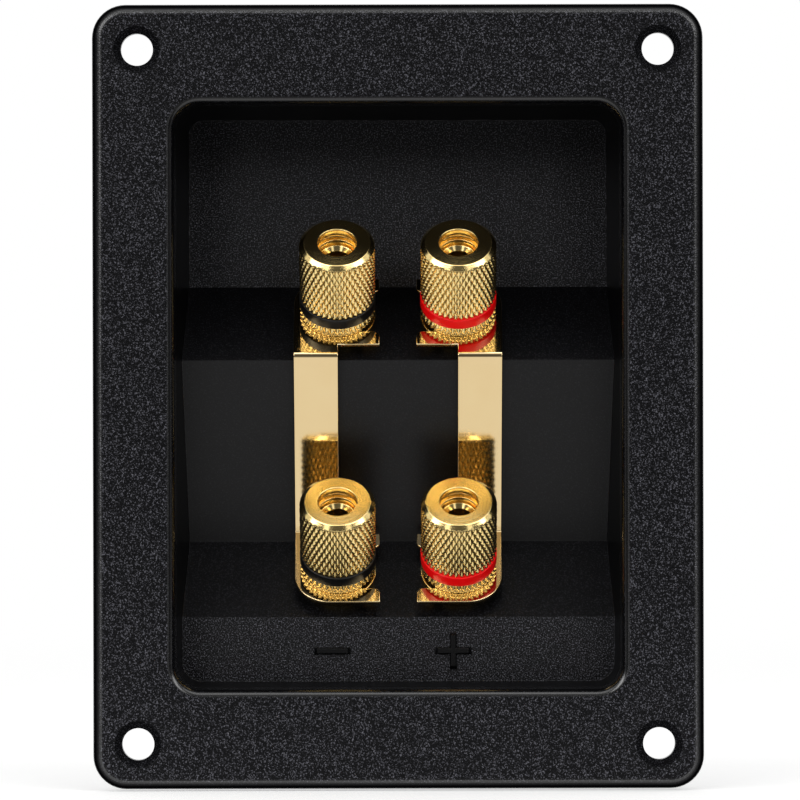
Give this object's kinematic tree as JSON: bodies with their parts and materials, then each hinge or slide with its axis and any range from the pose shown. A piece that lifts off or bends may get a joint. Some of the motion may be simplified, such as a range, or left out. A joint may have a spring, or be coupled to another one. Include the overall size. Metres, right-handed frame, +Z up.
{
  "type": "speaker terminal cup",
  "caption": "Rectangular flanged terminal cup with a stepped recess, tilted screw-cap binding posts in red and black pairs, and sheet bridges that join the upper and lower posts.",
  "frame": {"origin": "centre of the four screw holes, on the flange's rear face, where the cup seats on the cabinet", "axes": "+X to the right seen from the front, +Y into the cabinet, +Z up, with the upper posts above the lower ones"},
  "size_m": [0.095, 0.0306, 0.122],
  "materials": {
    "cup_plastic": "spark-eroded grain",
    "gold_plate": "polished gold plating on brass",
    "red_ring": "gloss",
    "black_ring": "satin",
    "tinned_brass": "tin plating",
    "nickel_plate": "nickel plating"
  },
  "bodies": {
    "cup": {"cup": "cup_plastic", "upper_negative_post": "gold_plate", "upper_positive_post": "gold_plate", "lower_negative_post": "gold_plate", "lower_positive_post": "gold_plate", "upper_negative_tag": "tinned_brass", "upper_positive_tag": "tinned_brass", "lower_negative_tag": "tinned_brass", "lower_positive_tag": "tinned_brass", "lock_washers": "nickel_plate", "hex_nuts": "nickel_plate"},
    "upper_negative_ring": {"upper_negative_ring": "black_ring"},
    "upper_negative_cap": {"upper_negative_cap": "gold_plate"},
    "upper_positive_ring": {"upper_positive_ring": "red_ring"},
    "upper_positive_cap": {"upper_positive_cap": "gold_plate"},
    "lower_negative_ring": {"lower_negative_ring": "black_ring"},
    "lower_negative_cap": {"lower_negative_cap": "gold_plate"},
    "lower_positive_ring": {"lower_positive_ring": "red_ring"},
    "lower_positive_cap": {"lower_positive_cap": "gold_plate"},
    "negative_bridge": {"negative_bridge": "gold_plate"},
    "positive_bridge": {"positive_bridge": "gold_plate"}
  },
  "joints": [
    {"name": "upper_negative_lift", "type": "slide", "parent": "cup", "child": "upper_negative_ring", "axis": [0, -0.7071, 0.7071], "range_m": [0, 0.006]},
    {"name": "upper_negative_turn", "type": "hinge", "parent": "upper_negative_ring", "child": "upper_negative_cap", "pos_m": [-0.0095, 0.01483, 0.01157], "axis": [0, -0.7071, 0.7071], "range_deg": [0, 2160]},
    {"name": "upper_positive_lift", "type": "slide", "parent": "cup", "child": "upper_positive_ring", "axis": [0, -0.7071, 0.7071], "range_m": [0, 0.006]},
    {"name": "upper_positive_turn", "type": "hinge", "parent": "upper_positive_ring", "child": "upper_positive_cap", "pos_m": [0.0095, 0.01483, 0.01157], "axis": [0, -0.7071, 0.7071], "range_deg": [0, 2160]},
    {"name": "lower_negative_lift", "type": "slide", "parent": "cup", "child": "lower_negative_ring", "axis": [0, -0.7071, 0.7071], "range_m": [0, 0.006]},
    {"name": "lower_negative_turn", "type": "hinge", "parent": "lower_negative_ring", "child": "lower_negative_cap", "pos_m": [-0.0095, 0.01483, -0.02883], "axis": [0, -0.7071, 0.7071], "range_deg": [0, 2160]},
    {"name": "lower_positive_lift", "type": "slide", "parent": "cup", "child": "lower_positive_ring", "axis": [0, -0.7071, 0.7071], "range_m": [0, 0.006]},
    {"name": "lower_positive_turn", "type": "hinge", "parent": "lower_positive_ring", "child": "lower_positive_cap", "pos_m": [0.0095, 0.01483, -0.02883], "axis": [0, -0.7071, 0.7071], "range_deg": [0, 2160]},
    {"name": "negative_bridge_pull", "type": "slide", "parent": "cup", "child": "negative_bridge", "axis": [-1, 0, 0], "range_m": [0, 0.013]},
    {"name": "positive_bridge_pull", "type": "slide", "parent": "cup", "child": "positive_bridge", "axis": [1, 0, 0], "range_m": [0, 0.013]}
  ],
  "couplings": [
    {"joint": "upper_negative_lift", "follows": "upper_negative_turn", "m_per_rad": 0.00015915},
    {"joint": "upper_positive_lift", "follows": "upper_positive_turn", "m_per_rad": 0.00015915},
    {"joint": "lower_negative_lift", "follows": "lower_negative_turn", "m_per_rad": 0.00015915},
    {"joint": "lower_positive_lift", "follows": "lower_positive_turn", "m_per_rad": 0.00015915}
  ]
}
